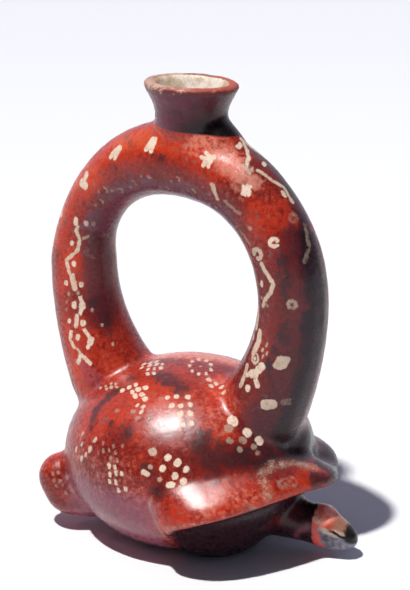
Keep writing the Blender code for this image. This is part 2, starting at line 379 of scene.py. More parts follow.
# Groups of dabs on the turtle's back, from the far rows to the near ones, with a ring of them and
# a trail between the legs. Some are rubbed thin. The last group is on the side of the tail.
group(on_body(-141, 23), 0.00100, (0.0034, 74), (0.0049, -10), ("ooo.", "oooo", ".ooo", ".oo."), 0.0009, 0.9)
ring_middle = Vector((0.0075, -0.0020, 0.0900))
ring_across, ring_along = Vector((0.84, 0.54, 0.0)), Vector((-0.54, 0.84, 0.0))
half_dab = 0.0010 * ring_along
for turn in range(20, 380, 40):
    turn = math.radians(turn)
    place = ring_middle + 0.0056 * math.cos(turn) * ring_across + 0.0092 * math.sin(turn) * ring_along
    stroke(place - half_dab, place + half_dab, random.uniform(0.0007, 0.0010), strength=0.9)
dab(ring_middle, 0.0009, strength=0.8)
for turn, down, radius in (
    (-91, 51, 0.0010),
    (-92, 48, 0.0010),
    (-97, 48, 0.0008),
    (-31, 25, 0.0013),
    (-27, 30, 0.0011),
    (-34, 31, 0.0011),
    (-24, 35, 0.0012),
    (-24, 40, 0.0010),
):
    dab(on_body(turn, down), radius, 0.0004, strength=0.85)
group(on_body(-140, 49), 0.0008, (0.0037, 54), (0.0044, 5), ("oooo", ".ooo"), 0.0011, 0.75)
group(on_body(-106, 41), 0.00120, (0.0033, 50), (0.0046, -24), ("ooo.", ".ooo", ".oo.", "..o."), 0.0006)
for turn, down in ((-97, 52), (-109, 55), (-91, 55)):
    dab(on_body(turn, down), 0.0011, 0.0003, 0, strength=0.55)
group(on_body(-64, 47), 0.0014, (0.0047, 2), (0.0058, -76), ("ooo", "ooo", ".oo", ".oo"), 0.0003, 0.92)
dab(on_body(-82, 41), 0.0013, strength=0.5)
for turn, down, radius in ((-31, 56, 0.0025), (-25, 63, 0.0021), (-20, 68, 0.0020)):
    dab(on_body(turn, down), radius, 0.0004, 120)
for turn, down, radius in (
    (-35, 59, 0.0023),
    (-29, 66, 0.0021),
    (-24, 70, 0.0016),
    (-36, 65, 0.0018),
    (-32, 70, 0.0015),
    (-23, 73, 0.0014),
):
    dab(on_body(turn, down), radius, strength=0.62)
dab(on_body(-76, 70), 0.0021, strength=0.75)
for turn, down, radius in (
    (-68, 72, 0.0017),
    (-63, 74, 0.0017),
    (-59, 77, 0.0014),
    (-70, 77, 0.0015),
    (-64, 80, 0.0016),
    (-60, 82.5, 0.0016),
):
    dab(on_body(turn, down), radius, 0.0003, 60)
dab(on_body(-65.5, 84.5), 0.0016, 0.0008, 10)
dab(on_body(-78, 80), 0.0013, 0.0012, -15, strength=0.85)
for turn, down in ((-71, 82), (-76, 77), (-61, 86)):
    dab(on_body(turn, down), 0.0012, strength=0.7)
group(on_body(-93, 85), 0.0010, (0.0038, 6), (0.0038, -74), ("oo.", "ooo", "oo.", ".oo"), 0.0005, 0.86)
group(on_body(-98, 74), 0.0008, (0.0040, 7), (0.0036, -63), ("o.oo", "ooo.", ".oo."), 0.0004, 0.6)
for turn, down, radius in (
    (-113, 77, 0.0014),
    (-115, 80, 0.0011),
    (-118, 83, 0.0012),
    (-125, 81, 0.0012),
    (-121, 77, 0.0010),
    (-112, 72, 0.0012),
    (-124, 73, 0.0009),
):
    dab(on_body(turn, down), radius, 0.0004, 80, strength=0.8)
tail_side = Vector((-0.0524, -0.0378, 0.0275))
group(tail_side, 0.0007, (0.0034, 10), (0.0036, -66), ("oo.", "ooo", "ooo", ".oo"), 0.0004, 0.6)

# The far side has the same groups, set out more plainly.
group(on_body(52, 48), 0.0015, (0.0047, 4), (0.0056, -78), ("ooo", "ooo", ".oo"), 0.0003, 0.85)
group(on_body(104, 52), 0.0013, (0.0044, 8), (0.0052, -70), ("oooo", "oooo", ".ooo"), 0.0005, 0.8)
group(on_body(146, 60), 0.0013, (0.0044, 2), (0.0050, -80), ("oo", "oo", "oo"), 0.0006, 0.75)
group(on_body(78, 78), 0.0011, (0.0042, 0), (0.0046, -84), ("oooo", "oooo"), 0.0006, 0.65)

# Marks over the top of the loop: blunt wedges, a star, a rounded square and a loose vine.
for place, width, tall, lean in (
    (on_arch(98, 58), 0.0014, 0.0026, 0.0004),
    (on_arch(116.5, 58), 0.0015, 0.0026, 0.0011),
):
    for side in (-1, 1):
        foot = beside(place, side * width - lean, -tall)
        stroke(foot, beside(place, side * width * 0.45 + lean, tall), 0.0015)
dab(on_arch(140, 66), 0.0021, 0.0016, 165)
dab(on_arch(137, 58), 0.0017, 0.0012, 80)
stroke(on_arch(160, 42), on_arch(159, 33), 0.0018, taper=0.4)
star(on_arch(72, 57), 0.0034, (28, 110, 165, 238, 285), 0.0017)
dab(on_arch(72, 57), 0.0029)
star(on_arch(52, 57), 0.0025, (48, 130, 222, 305), 0.0015)
dab(on_arch(52, 57), 0.0025, 0.0005, 90)
vine = [on_arch(73, 12), on_arch(71, 0), on_arch(68, -4), on_arch(64, 0), on_arch(61, 13), on_arch(59, 29)]
path(vine, 0.0010, 0.88)
path([on_arch(69, -2), on_arch(65, -17), on_arch(58, -25)], 0.0010, 0.85)
dab(on_arch(67, 8), 0.0013, 0.0010, 30)
dab(on_arch(56, -2), 0.0013, 0.0007, 20)
path([on_arch(55, 20), on_arch(49, 11), on_arch(45, 0), on_arch(39, 3)], 0.0010, 0.8)
path([on_arch(60, 30), on_arch(56, 34), on_arch(57, 24)], 0.0008, 0.7)
dab(on_arch(43, 9), 0.0014, 0.0006, 100, strength=0.85)
arc(on_arch(34, 18), 0.0020, 40, 330, 0.0010, 0.5)
path([on_arch(30, 3), on_arch(23, 12), on_arch(18, 30)], 0.0011, 0.48)
arc(on_arch(29, 67), 0.0019, 25, 330, 0.0010, 0.95)
arc(on_arch(27, 104), 0.0024, -90, 190, 0.0012, 0.8)
arc(on_arch(3, 61), 0.0019, 60, 400, 0.0009, 0.68)
dab(on_arch(4, 62), 0.0007, 0.0010, 60, strength=0.6)
stroke(on_arch(65, 87), on_arch(60, 102), 0.0014, taper=0.3, strength=0.78)
path([on_arch(56, 96), on_arch(50, 95), on_arch(47, 91)], 0.0009, 0.6)
dab(on_arch(39, 92), 0.0011, strength=0.65)
stroke(on_arch(44, 118), on_arch(33, 112), 0.0009, strength=0.6)
for along, around, length, lean in (
    (60, 120, 0.0034, -60),
    (74, 116, 0.0026, 10),
    (83, 104, 0.0022, 25),
    (92, 130, 0.0030, 12),
    (101, 108, 0.0026, -15),
    (112, 118, 0.0020, 70),
    (124, 124, 0.0030, 55),
    (131, 108, 0.0024, 80),
    (139, 118, 0.0022, 62),
):
    place = on_arch(along, around)
    lean = math.radians(lean)
    bend = beside(place, length * math.cos(lean) / 2, length * math.sin(lean) / 2)
    path([beside(bend, -length * 0.5, 0.0006), bend, beside(place, 0.0006, -length * 0.3)], 0.00050, 0.66)
    dab(on_arch(along + 4, around + random.uniform(-9, 9)), random.uniform(0.0005, 0.0009), strength=0.62)

# The far side of the loop, plainer: four dabs over the top, and a zigzag with dabs up each leg.
for along in (128, 104, 74, 48):
    dab(on_arch(along, -58), 0.0020, 0.0012, 90 if along > 90 else 40, strength=0.85)
bends = 8
for first, last in ((12, -50), (168, 232)):
    step = (last - first) / bends
    path([on_arch(first + step * bend, -84 - 14 * (bend % 2)) for bend in range(bends + 1)], 0.0010, 0.8)
    for bend in range(1, bends, 2):
        dab(on_arch(first + step * bend, -80), 0.0011, strength=0.8)

# The column of marks up the back leg: a zigzag with a dab in each bend, bars, a pair of
# brackets and a chevron.
zigzag = [on_arch(159, 100), on_arch(161, 101), on_arch(165, 112), on_arch(171, 111), on_arch(177, 92)]
path(zigzag, 0.0009, 0.85)
path([on_arch(177, 92), on_arch(182, 98), on_arch(185, 104)], 0.00098, 0.9)
stroke(on_arch(165, 112), on_arch(162, 125), 0.00082, strength=0.7)
stroke(on_arch(184, 104), on_arch(190, 107), 0.00148, strength=0.86)
dab(on_arch(157, 92), 0.00123, 0.00107, 80)
for along, around, radius, strength in (
    (155, 114, 0.00123, 0.8),
    (154, 128, 0.00107, 0.6),
    (168, 98, 0.00107, 1.0),
    (178, 107, 0.00115, 1.0),
    (188, 91, 0.00123, 1.0),
    (188, 119, 0.00123, 1.0),
    (192, 112, 0.00082, 0.7),
    (193, 94, 0.0009, 0.65),
    (206, 87, 0.00107, 1.0),
    (206, 112, 0.00148, 1.0),
    (197, 88, 0.00074, 0.6),
    (201, 84, 0.00074, 0.6),
    (200, 131, 0.00066, 0.7),
    (207, 141, 0.00066, 0.7),
    (216, 148, 0.00066, 0.7),
):
    dab(on_arch(along, around), radius, 0.00025, 80, strength=strength)
path([on_arch(194, 115), on_arch(198, 117), on_arch(202, 110)], 0.00098)
dab(on_arch(198, 116), 0.00164, 0.00057, 85)
dab(on_arch(198, 102), 0.00131, 0.00074, 90)
stroke(on_arch(203, 104), on_arch(208, 98), 0.00115)
path([on_arch(211, 87), on_arch(215, 80), on_arch(218, 85)], 0.00107)
path([on_arch(209, 112), on_arch(213, 118), on_arch(217, 110)], 0.00098)
dab(on_arch(214, 117), 0.00156, 0.0009, 75)
dab(on_arch(213, 97), 0.00123, 0.00049, 85)
path([on_arch(218, 87), on_arch(219, 92), on_arch(221, 95)], 0.00066, 0.8)
stroke(on_arch(221, 95), on_arch(225, 84), 0.00115)
stroke(on_arch(221, 95), on_arch(224, 106), 0.00107)

# The column inside the front leg: a ring and a zigzag, two bars, a ring with a dot, and a blotch,
# with a lozenge and a blot beside it.
path([on_arch(22, 103), on_arch(19, 101), on_arch(16, 95), on_arch(12, 89)], 0.0012, 0.85)
path([on_arch(12, 89), on_arch(8, 96), on_arch(4, 110), on_arch(0, 118)], 0.0011, 0.82)
stroke(on_arch(4, 121), on_arch(1, 105), 0.0008, strength=0.6)
dab(on_arch(12, 114), 0.0011, 0.0006, 80)
path([on_arch(-2, 136), on_arch(-7, 135), on_arch(-12, 133)], 0.0012, 0.85)
path([on_arch(-13, 119), on_arch(-18, 118), on_arch(-23, 122)], 0.0019, 0.9)
path([on_arch(-30, 125), on_arch(-34, 121), on_arch(-39, 118)], 0.0014, 0.8)
dab(on_arch(-17, 138), 0.0012)
for along, around in ((-17, 98), (-20, 104), (-23, 100), (-21, 94)):
    dab(on_arch(along, around), 0.0006, 0.0006, 70, strength=0.75)
arc(on_arch(-25, 114), 0.0023, 0, 330, 0.0008, 0.85, 8)
dab(on_arch(-25, 114), 0.0011)
dab(on_arch(-28.5, 98), 0.0021, 0.0012, 55)
dab(on_arch(-32, 106), 0.0023, 0.0012, 15)
dab(on_arch(-33, 114), 0.0014, 0.0008, 30, strength=0.9)
dab(on_arch(-35.5, 94), 0.0014, 0.0014, -65)
dab(on_arch(-39, 104), 0.0015, 0.0003, 80)
for step in (-0.0021, -0.0007, 0.0007, 0.0021):
    foot = beside(on_arch(-24.5, 67), step - 0.0009, -0.0024 + abs(step) * 0.3)
    stroke(foot, beside(on_arch(-24.5, 67), step + 0.0009, 0.0026 - abs(step) * 0.3), 0.0013, strength=0.8)
dab(on_arch(-45, 63), 0.0027, 0.0014, 5, strength=0.84)
dab(on_arch(-44, 40), 0.0018, 0.0012, 0, strength=0.5)

# On the brim, a ring that is all but rubbed away, with light slip left in its middle. On the head,
# a spot of cream that is a painted highlight on the crown.
ring_on_brim = Vector((0.0690, -0.0200, 0.0470))
arc(ring_on_brim, 0.0056, 50, 350, 0.0009, 0.44, 11, 0.44)
dab(ring_on_brim, 0.0012, 0.0014, 15, strength=0.42)
# A painted highlight on the head's crown.
dab(Vector((0.0742, -0.0002, 0.0218)), 0.0011, 0.0009, -35)


def keep(name, kind, where, values):
    """Stores values on the skin for its material to read."""
    layer = vessel.data.attributes.new(name, kind, where)
    field = "vector" if kind == "FLOAT_VECTOR" else "value"
    layer.data.foreach_set(field, np.ascontiguousarray(values, np.float32).ravel())


def store_marks():
    """Gives each face the place of its corners beside its nearest stroke, and that stroke's size, in mm."""
    mesh = vessel.data
    centres = values_of(mesh.polygons, "center")
    facing = values_of(mesh.polygons, "normal")
    sides = values_of(mesh.polygons, "loop_total", 1, np.int64)
    corners = values_of(mesh.loops, "vertex_index", 1, np.int64)
    margin, depth, least_facing, to_mm = 0.003, 0.005, 0.3, 1000
    best = np.full(len(centres), margin)
    chosen_mark = np.full(len(centres), -1)
    for index, (middle, along, across, normal, half_length, half_width, *_) in enumerate(marks):
        offset = centres - np.array(middle)
        x, y, z = (offset @ np.array(axis) for axis in (along, across, normal))
        gap = np.hypot(np.maximum(np.abs(x) - half_length, 0.0), y) - half_width
        fits = (gap < best) & (np.abs(z) < depth) & (facing @ np.array(normal) > least_facing)
        best[fits] = gap[fits]
        chosen_mark[fits] = index
    of_corner = np.repeat(chosen_mark, sides)
    points = values_of(mesh.vertices, "co")[corners]
    place = np.zeros((len(corners), 3))
    size = np.zeros((len(corners), 3))
    strength = np.zeros(len(corners))
    for index, (middle, along, across, _, half_length, half_width, taper, force) in enumerate(marks):
        mine = of_corner == index
        offset = points[mine] - np.array(middle)
        place[mine, 0] = offset @ np.array(along) * to_mm
        place[mine, 1] = offset @ np.array(across) * to_mm
        size[mine] = (half_length * to_mm, half_width * to_mm, taper)
        strength[mine] = force
    keep("stroke_place", "FLOAT_VECTOR", "CORNER", place)
    keep("stroke_size", "FLOAT_VECTOR", "CORNER", size)
    keep("stroke_strength", "FLOAT", "CORNER", strength)


store_marks()


# Broad tones of the slip. Smoke in the firing left black patches, a plum slip covers the spout and
# the inner side of the loop, and long handling has worn the lips through to the pale clay. Some
# tones are painted light and shade instead: painted shade, a painted reflection of the floor,
# painted sheen, and light painted where the loop's shadow falls.
def laid(tone, *patches):
    """The tone with soft patches laid over it, each of them a path with its reach and its strength."""
    for places, reach, amount in patches:
        tone = np.maximum(tone, amount * near_path(skin, places, reach))
    return tone


def along_arch(first, last, step, around):
    """A path along the loop, at one turn round its tube."""
    return [on_arch(along, around) for along in range(first, last, step)]


turns = np.degrees(np.arctan2(skin[:, 1], skin[:, 0]))
height = skin[:, 2]
bare = np.zeros(len(skin))
black = laid(
    bare,
    ([on_body(-104, 24), on_body(-80, 27), on_body(-66, 31)], 0.0095, 0.95),
    ([on_body(-127, 47), on_body(-126, 54), on_body(-125, 61), on_body(-120, 67)], 0.0065, 1.0),
    ([on_body(-94, 62), on_body(-94, 65)], 0.0085, 0.8),
    ([on_body(-50, 64), on_body(-50, 72), on_body(-46, 78)], 0.0105, 1.0),
    ([on_body(-45, 73), on_body(-33, 73), on_body(-22, 77), on_body(-16, 76)], 0.0110, 1.0),
    ([on_body(-42, 67), on_body(-30, 72)], 0.0085, 0.8),
    ([on_body(-79, 77), on_body(-75, 80)], 0.0070, 0.7),
    ([on_body(-73, 87), on_body(-68, 88)], 0.0085, 0.8),
    ([on_body(-137, 35), on_body(-130, 36)], 0.0060, 0.6),
    ([on_body(-106, 62), on_body(-98, 70)], 0.0060, 0.5),
    ([on_body(110, 40), on_body(70, 55), on_body(60, 75)], 0.0140, 0.8),
    ([on_body(150, 60), on_body(165, 80)], 0.0120, 0.7),
    ([on_arch(96, 76), on_arch(92, 80)], 0.0060, 0.7),
    ([on_arch(126, 74), on_arch(120, 84)], 0.0060, 0.5),
    ([on_arch(20, 60), on_arch(4, 74), on_arch(-12, 68)], 0.0075, 0.75),
    ([on_arch(-20, 84), on_arch(-34, 78)], 0.0070, 0.7),
    ([on_arch(196, 140), on_arch(204, 150)], 0.0090, 0.6),
    # The brim's far point is dark here and in the shade and smoke below: partly its own black, partly painted
    # shade from the loop's front leg.
    ([(0.0765, -0.0060, 0.0455), (0.0795, 0.0040, 0.0440)], 0.0085, 0.75),
    ([(0.0500, -0.0530, 0.0420), (0.0590, -0.0440, 0.0400)], 0.0060, 0.55),
)

# Smoke and painted shade lie down the front leg, round the far front of the shell, and on all that
# is under the brim: partly the black of the firing, partly painted shade where the lamp does not reach.
under_lip = 0.0015 - 0.0020 * swell(turns, -35, 18)
shade_and_smoke_under_brim = np.clip((brim_lip_z(turns) - under_lip - height) / 0.003, 0, 1)
shade_and_smoke_under_brim *= np.clip((72 - np.abs(turns)) / 11, 0, 1)
smoke_and_shade = laid(
    shade_and_smoke_under_brim,
    ([on_arch(24, 8), on_arch(5, 12), on_arch(-20, 14), on_arch(-45, 14), on_arch(-62, 18)], 0.0175, 1.0),
    ([on_arch(60, -20), on_arch(45, -14), on_arch(24, 4)], 0.0120, 0.8),
    ([(0.060, 0.000, 0.058), (0.060, 0.030, 0.050)], 0.024, 1.0),
    ([(0.073, 0.018, 0.043), (0.058, 0.052, 0.034)], 0.021, 1.0),
    ([(0.064, 0.004, 0.056), (0.072, 0.011, 0.050), (0.078, 0.014, 0.045)], 0.0085, 1.5),
    ([(0.0722, 0.0030, 0.0487), (0.0752, 0.0050, 0.0463), (0.0778, 0.0070, 0.0440)], 0.0052, 1.4),
)
neck_smear = [(0.0604, -0.0006, 0.0088), (0.0656, -0.0026, 0.0135), (0.0705, -0.0023, 0.0177)]
smoke_and_shade *= 1 - 0.55 * near_path(skin, neck_smear, 0.0050)
smoke_and_shade *= 1 - 0.40 * near_path(skin, [(0.046, -0.014, 0.020), (0.061, -0.004, 0.022)], 0.015)

# Plum is the plum slip inside the top of the loop. Painted shade is a dark red laid on the inside of its
# legs, the side of the front one, the shell beside it and the brim's far point, and the painted floor
# reflection a mauve sheen low on the belly, on the neck and at the foot of the back leg.
# Before the front leg the shell is painted lighter, a painted glow of the highlight there.
before_front_leg = [on_body(-20, 28), on_body(-27, 38), on_body(-31, 47), on_body(-44, 50), on_body(-40, 60)]
plum = laid(bare, (along_arch(50, 157, 10, 140), 0.0165, 1.0))
painted_shade = laid(
    bare,
    (along_arch(146, 204, 8, 152), 0.0165, 1.0),
    (along_arch(-40, 40, 10, 180), 0.014, 0.8),
    ([on_arch(26, 28), on_arch(5, 40), on_arch(-20, 54), on_arch(-42, 52), on_arch(-62, 50)], 0.0180, 1.1),
    ([on_body(-20, 62), on_body(-14, 78)], 0.020, 0.8),
    ([(0.0765, -0.0060, 0.0455), (0.0800, 0.0060, 0.0440)], 0.010, 1.0),
)
painted_shade *= 1 - 0.6 * near_path(skin, before_front_leg, 0.014)
low_on_belly = np.clip((0.050 - height) / 0.016, 0, 1) * np.clip((-64 - turns) / 14, 0, 1)
low_on_belly *= np.clip((skin[:, 0] + 0.054) / 0.012, 0, 1)
painted_floor_reflection = laid(
    low_on_belly,
    ([on_arch(224, 90), on_arch(236, 110)], 0.010, 0.6),
    ([(0.0615, -0.002, 0.014), (0.0665, -0.001, 0.013)], 0.008, 0.75),
    (neck_smear, 0.0045, 0.9),
)

# Warm and lit is where the slip fired to orange, and where light is painted on the top of the shell and
# before the front leg. Painted sheen is a pinkish tan glow laid as a painted highlight over the top
# of the shell, the loop's shoulder, the brim, the back leg, the belly and the tail.
# The top of the shell behind the loop is painted lighter, as light where the loop's shadow falls on it.
far_top = [on_body(150, 24), on_body(100, 18), on_body(66, 28)]
tail = [(-0.050, -0.025, 0.018), (-0.060, -0.030, 0.030)]
on_brim = near_path(skin, whole_lip, 0.024) * np.clip((16 - turns) / 15, 0, 1) * (height > 0.02)
near_flank = falloff(np.linalg.norm(skin - np.array(on_body(-104, 48)), axis=1) / 0.050)
warm_and_lit = laid(
    np.maximum(0.78 * on_brim, 0.9 * near_flank),
    (along_arch(66, 171, 8, 48), 0.021, 1.0),
    (along_arch(34, 67, 8, 52), 0.019, 0.42),
    (along_arch(-6, 34, 8, 56), 0.016, 0.45),
    (along_arch(176, 227, 10, 82), 0.020, 0.68),
    (tail, 0.018, 1.6),
    (far_top, 0.020, 1.1),
    (before_front_leg, 0.017, 0.85),
)
painted_sheen = laid(
    bare,
    (far_top, 0.018, 1.4),
    ([on_arch(80, 34), on_arch(70, 36), on_arch(62, 40), on_arch(55, 46)], 0.0125, 1.0),
    ([(0.0445, -0.0590, 0.0420), (0.0600, -0.0420, 0.0430)], 0.0140, 0.55),
    ([on_arch(226, 70), on_arch(240, 60)], 0.0100, 0.15),
    (before_front_leg, 0.015, 0.38),
    ([on_body(-140, 80), on_body(-110, 85), on_body(-84, 84)], 0.030, 0.28),
    (tail, 0.018, 0.6),
)

# The inside of the spout is bare clay down to the throat. Wear follows the brim's lip and its near
# end, together with a painted highlight along those edges, and wear alone marks a chafed patch near
# its point and the spout's rim.
bore_centre_x, mouth_radius, throat_height = 0.0009, 0.0186, 0.196
from_bore = skin[:, 0] - bore_centre_x
bowl = np.hypot(from_bore, skin[:, 1])
inside_mouth = np.clip((mouth_radius - bowl) / 0.0008, 0, 1) * (height > throat_height)
inside_mouth *= skin_normals[:, 2] > -0.3
inside_mouth *= (from_bore * skin_normals[:, 0] + skin[:, 1] * skin_normals[:, 1]) < 0.2 * bowl
worn_and_lit_lip = near_path(skin, whole_lip, 0.0028) * np.clip(-turns / 60, 0.35, 1.0)
spout_rim = np.clip((height - 0.2295) / 0.0030, 0, 1) * np.clip((0.014 - skin[:, 0]) / 0.018, 0.55, 1)
brim_end = [(0.0168, -0.0503, 0.0179), (0.0168, -0.0549, 0.0244), (0.0171, -0.0596, 0.0325)]
brim_end += [(0.0156, -0.0607, 0.0378), (0.0171, -0.0604, 0.0422)]
chafed = [(0.0652, -0.0336, 0.0447), (0.0600, -0.0286, 0.0521), (0.0600, -0.0196, 0.0538)]
chafed += [(0.0650, -0.0090, 0.0530), (0.0740, -0.0010, 0.0500)]
worn_and_edge_lit = laid(np.maximum(worn_and_lit_lip, 0.74 * spout_rim), (chafed, 0.0072, 0.74), (brim_end, 0.0022, 0.9))
keep("tone_black_smoke_shade_plum", "FLOAT_VECTOR", "POINT", np.stack([black, smoke_and_shade, plum], 1))
keep("tone_warmlit_wornlit_mouth", "FLOAT_VECTOR", "POINT", np.stack([warm_and_lit, worn_and_edge_lit, inside_mouth], 1))
keep("tone_shade_reflection_sheen", "FLOAT_VECTOR", "POINT", np.stack([painted_shade, painted_floor_reflection, painted_sheen], 1))


class Wire:
    """A socket of a material, so that maths on the surface is written as plain maths."""

    def __init__(self, tree, socket):
        self.tree = tree
        self.socket = socket

    def node(self, kind, settings=None, sockets=None, output=0):
        """Any node: its settings first, then the values or links of its sockets."""
        made = self.tree.nodes.new(kind)
        for name, value in (settings or {}).items():
            setattr(made, name, value)
        for name, value in (sockets or {}).items():
            if isinstance(value, Wire):
                self.tree.links.new(value.socket, made.inputs[name])
            else:
                made.inputs[name].default_value = value
        return Wire(self.tree, made.outputs[output])

    def maths(self, operation, *others, first=None):
        """This value and others put through one operation, in that order unless first says otherwise."""
        values = (self if first is None else first, *others)
        return self.node("ShaderNodeMath", {"operation": operation}, dict(enumerate(values)))

    def __add__(self, other):
        return self.maths("ADD", other)

    def __sub__(self, other):
        return self.maths("SUBTRACT", other)

    def __mul__(self, other):
        return self.maths("MULTIPLY", other)

    def __truediv__(self, other):
        return self.maths("DIVIDE", other)

    def __radd__(self, other):
        return self + other

    def __rmul__(self, other):
        return self * other

    def __rsub__(self, other):
        return self.maths("SUBTRACT", self, first=other)

    def __rtruediv__(self, other):
        return self.maths("DIVIDE", self, first=other)

    def __abs__(self):
        return self.maths("ABSOLUTE")

    def above(self, low, high):
        """0 below low, 1 over high, with a soft step between."""
        settings = {"interpolation_type": "SMOOTHSTEP"}
        return self.node("ShaderNodeMapRange", settings, {"Value": self, "From Min": low, "From Max": high})

    def noise(self, scale, detail=3.0, roughness=0.55, stretch=None):
        """Cloudy noise at this place, scale to the metre."""
        place = self
        if stretch:
            place = self.node("ShaderNodeVectorMath", {"operation": "MULTIPLY"}, {0: self, 1: stretch})
        sockets = {"Vector": place, "Scale": scale, "Detail": detail, "Roughness": roughness}
        return self.node("ShaderNodeTexNoise", None, sockets, "Fac")

    def parts(self):
        """The three parts of a place or of packed values."""
        split = self.node("ShaderNodeSeparateXYZ", None, {0: self})
        return tuple(Wire(self.tree, socket) for socket in split.socket.node.outputs)

    def mix(self, first, second):
        """The first colour, turned into the second where this is 1."""
        settings = {"data_type": "RGBA", "clamp_factor": True}
        return self.node("ShaderNodeMix", settings, {0: self, 6: first, 7: second}, 2)


def tint(red, green, blue):
    """A colour, opaque."""
    return (red, green, blue, 1.0)


# The slip's colour and shine. It reads the strokes and the tones kept on the skin, and breaks up
# every edge of them with noise, as a brush and a fire would.
burnished_slip.use_nodes = True
nodes = burnished_slip.node_tree.nodes
shader = nodes["Principled BSDF"]
start = Wire(burnished_slip.node_tree, None)
place = start.node("ShaderNodeTexCoord", None, None, "Object")


def stored(name, output="Vector"):
    """Values kept on the skin under that name."""
    return start.node("ShaderNodeAttribute", {"attribute_name": name}, None, output)


black, smoke_and_shade, plum = stored("tone_black_smoke_shade_plum").parts()
warm_and_lit, worn_and_edge_lit, mouth = stored("tone_warmlit_wornlit_mouth").parts()
painted_shade, painted_floor_reflection, painted_sheen = stored("tone_shade_reflection_sheen").parts()
x, y, z = place.parts()

# Noise from broad clouds down to fine grain. Swing, drift and speck go either side of nothing.
clouds = place.noise(38, 4)
blotches = place.noise(140, 5, 0.62)
mottle = place.noise(420, 5, 0.7)
grain = place.noise(1500, 3, 0.7)
rubbed = place.noise(900, 3, 0.6, (1.0, 1.0, 0.25))
swing = mottle * 2.0 - 1.0
drift = blotches * 1.6 - 0.8
speck = grain - 0.5

# The red slip is dark where the fire was cool and orange where it was hot, lighter still where light
# is painted on, with freckles and streaks all over. The broad tones lie over it, the black of the
# fire and the smoke with its painted shade last.
heat = clouds * 1.4 + warm_and_lit * 0.66 - 0.52 + swing * 0.7 + drift * 0.6
slip = heat.above(0.08, 0.78).mix(tint(0.170, 0.013, 0.010), tint(0.56, 0.040, 0.013))
slip = heat.above(0.70, 1.05).mix(slip, tint(0.68, 0.095, 0.030))
freckles = (drift + swing * 0.6 + speck * 0.5).above(0.00, 0.30)
slip = (freckles * 0.50).mix(slip, tint(0.115, 0.010, 0.010))
streaks = (rubbed + swing * 0.6 + speck).above(0.54, 0.84)
slip = (streaks * 0.50).mix(slip, tint(0.10, 0.009, 0.010))
light_specks = (grain + mottle + clouds * 0.4).above(1.34, 1.50)
slip = (light_specks * 0.45).mix(slip, tint(0.62, 0.20, 0.12))
# A mauve film painted as the floor's reflection, low on the belly, on the neck and at the back leg's foot.
floor_reflection_film = (painted_floor_reflection + swing * 0.5 + drift * 0.6).above(0.22, 0.90)
slip = (floor_reflection_film * 0.72).mix(slip, tint(0.28, 0.095, 0.140))
# A dark red painted as shade inside the loop's legs and on the shaded side of the front one.
painted_shade_red = (painted_shade + swing * 0.9 + drift * 1.1 + speck * 0.5).above(0.22, 0.80)
slip = (painted_shade_red * 0.80).mix(slip, tint(0.070, 0.014, 0.020))
plum_slip = (plum + drift * 1.5 + swing * 0.9 + speck * 0.5).above(0.28, 0.74)
slip = (plum_slip * 0.85).mix(slip, tint(0.150, 0.048, 0.074))
# Painted sheen: a pinkish tan glow where the highlights and their haze fall.
painted_sheen_glow = (painted_sheen + swing * 1.1 + drift * 0.9).above(0.20, 1.00)
slip = (painted_sheen_glow * 0.48).mix(slip, tint(0.92, 0.38, 0.27))
patchy = black * 0.95 + swing * 1.5 + drift * 1.3 + speck * 0.9
fire_black = (patchy * black.above(0.04, 0.30)).above(0.20, 0.84)
slip = (fire_black * 0.86).mix(slip, tint(0.040, 0.013, 0.016))
# Soot and painted shade: the smoke's black, with shade painted under the brim and on sides away from the
# lamp.
soot_and_shade = (smoke_and_shade + drift * 0.9 + swing * 0.5).above(0.25, 0.80)
slip = (soot_and_shade * 0.95).mix(slip, tint(0.016, 0.008, 0.013))

# The spout's plum slip, painted darker towards the front and low down as painted shade, and blackest
# low down at the front; it ends in a line that rises to the back.
on_spout = (z + 0.060 * x - 0.2118 + swing * 0.0010 + (abs(y) * -0.05)).above(-0.0005, 0.0005)
spout_painted_shade = (x * 30 - y * 8 + (0.224 - z) * 30 + drift * 0.7 + swing * 0.3).above(-0.10, 0.80)
spout_slip = spout_painted_shade.mix(tint(0.140, 0.022, 0.050), tint(0.050, 0.007, 0.012))
blackest = (x * 34 - y * 6 + (0.219 - z) * 70 + drift * 0.6).above(0.35, 1.00)
spout_slip = blackest.mix(spout_slip, tint(0.006, 0.004, 0.005))
slip = on_spout.mix(slip, spout_slip)

# The head: a red crown and collar, a tan snout, black along the mouth and a pale jaw. The jaw's
# grey-blue is a painted reflection of the floor, and the crown is painted light where the brim
# shades it and a darker red where the lamp reaches it.
forward = (x - 0.071) * 0.98 + (y - 0.0085) * 0.20 + swing * 0.0010
over_mouth = z - 0.0206 + forward * 0.50 + swing * 0.0006
head = forward.above(-0.0012, -0.0004) * (1 - z.above(0.0300, 0.0310))
upper = over_mouth.above(-0.0002, 0.0003)
# A painted reflection of the floor on the jaw, lighter towards the snout.
jaw_floor_reflection = (swing * 0.8 + speck * 0.6 + forward * 30).above(-0.05, 0.75)
jaw_clay = jaw_floor_reflection.mix(tint(0.060, 0.050, 0.070), tint(0.26, 0.245, 0.31))
below_mouth = (over_mouth + swing * 0.0016).above(-0.0036, -0.0014) * (1 - forward.above(0.010, 0.013))
jaw_clay = below_mouth.mix(jaw_clay, tint(0.42, 0.30, 0.25))
past_collar = (forward + swing * 0.0022 + (z - 0.012) * 0.25).above(0.0024, 0.0044)
jaw_clay = past_collar.mix(tint(0.62, 0.085, 0.075), jaw_clay)
off_lip = (over_mouth * 150 + mottle * 0.9).above(0.34, 0.78)
snout_clay = off_lip.mix(tint(0.76, 0.61, 0.54), tint(0.30, 0.140, 0.090))
cream_streak = (forward - 0.0098 + over_mouth * 0.6 + swing * 0.0018).above(-0.0026, 0.0006)
snout_clay = cream_streak.mix(tint(0.25, 0.080, 0.045), snout_clay)
